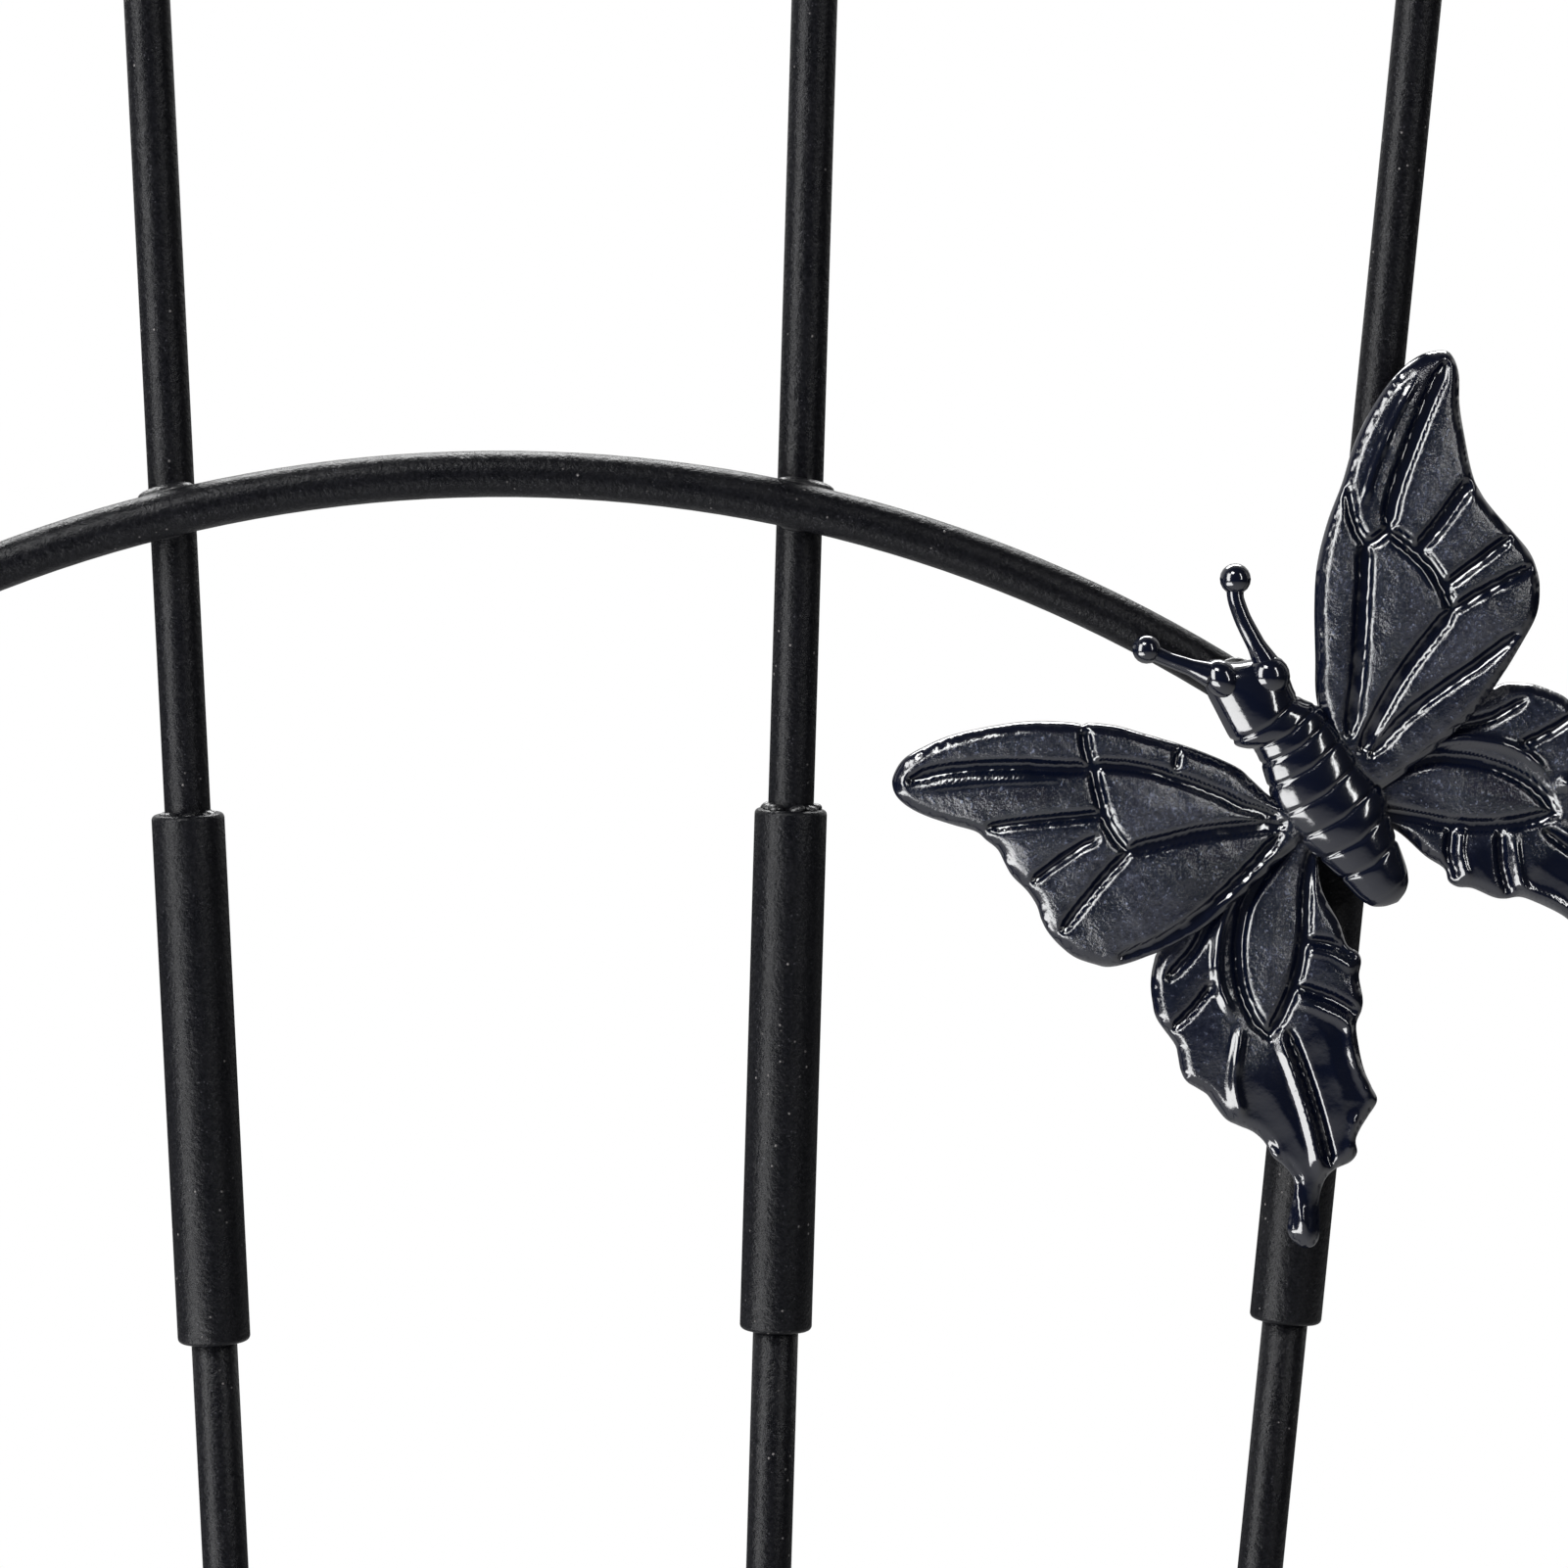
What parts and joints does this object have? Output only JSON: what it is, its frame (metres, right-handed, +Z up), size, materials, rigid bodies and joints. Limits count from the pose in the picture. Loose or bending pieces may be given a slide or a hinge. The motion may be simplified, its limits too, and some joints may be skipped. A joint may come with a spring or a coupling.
{
  "type": "garden trellis",
  "caption": "Fan-shaped garden trellis panel of black coated tube with arched braces, cast butterflies and slip-in ground legs.",
  "frame": {"origin": "middle of the panel at the soil line, in the plane of the uprights", "axes": "+Z up along the panel, X across it, the arched braces and castings are on the -Y side"},
  "size_m": [0.5197, 0.0269, 1.5239],
  "materials": {
    "frame_black": "satin powder coat, fine orange peel",
    "sleeve_black": "satin powder coat, fine orange peel",
    "leg_black": "satin powder coat, fine orange peel",
    "casting_black": "glossy blue-black enamel over a finely grained casting"
  },
  "bodies": {
    "panel": {"arch_1_welds": "frame_black", "arch_2_welds": "frame_black", "arch_3_welds": "frame_black", "arch_4_welds": "frame_black", "butterfly_low_right": "casting_black", "butterfly_low_right_welds": "frame_black", "butterfly_middle_left": "casting_black", "butterfly_middle_left_welds": "frame_black", "butterfly_top_right": "casting_black", "butterfly_top_right_welds": "frame_black", "cross_arch_1": "frame_black", "cross_arch_2": "frame_black", "cross_arch_3": "frame_black", "cross_arch_4": "frame_black", "inner_rod_left": "frame_black", "inner_rod_left_weld": "frame_black", "inner_rod_right": "frame_black", "inner_rod_right_weld": "frame_black", "outer_hoop": "frame_black", "sleeve_left_inner": "sleeve_black", "sleeve_left_inner_weld": "frame_black", "sleeve_left_outer": "sleeve_black", "sleeve_left_outer_weld": "frame_black", "sleeve_right_inner": "sleeve_black", "sleeve_right_inner_weld": "frame_black", "sleeve_right_outer": "sleeve_black", "sleeve_right_outer_weld": "frame_black"},
    "leg_left_inner": {"ground_leg_left_inner": "leg_black"},
    "leg_right_inner": {"ground_leg_right_inner": "leg_black"},
    "leg_left_outer": {"ground_leg_left_outer": "leg_black"},
    "leg_right_outer": {"ground_leg_right_outer": "leg_black"}
  },
  "joints": [
    {"name": "leg_left_inner_slide", "type": "slide", "parent": "panel", "child": "leg_left_inner", "axis": [0.0357, 0, -0.9994], "range_m": [0, 0.055]},
    {"name": "leg_right_inner_slide", "type": "slide", "parent": "panel", "child": "leg_right_inner", "axis": [-0.0357, 0, -0.9994], "range_m": [0, 0.055]},
    {"name": "leg_left_outer_slide", "type": "slide", "parent": "panel", "child": "leg_left_outer", "axis": [0.1006, 0, -0.9949], "range_m": [0, 0.055]},
    {"name": "leg_right_outer_slide", "type": "slide", "parent": "panel", "child": "leg_right_outer", "axis": [-0.1006, 0, -0.9949], "range_m": [0, 0.055]}
  ]
}
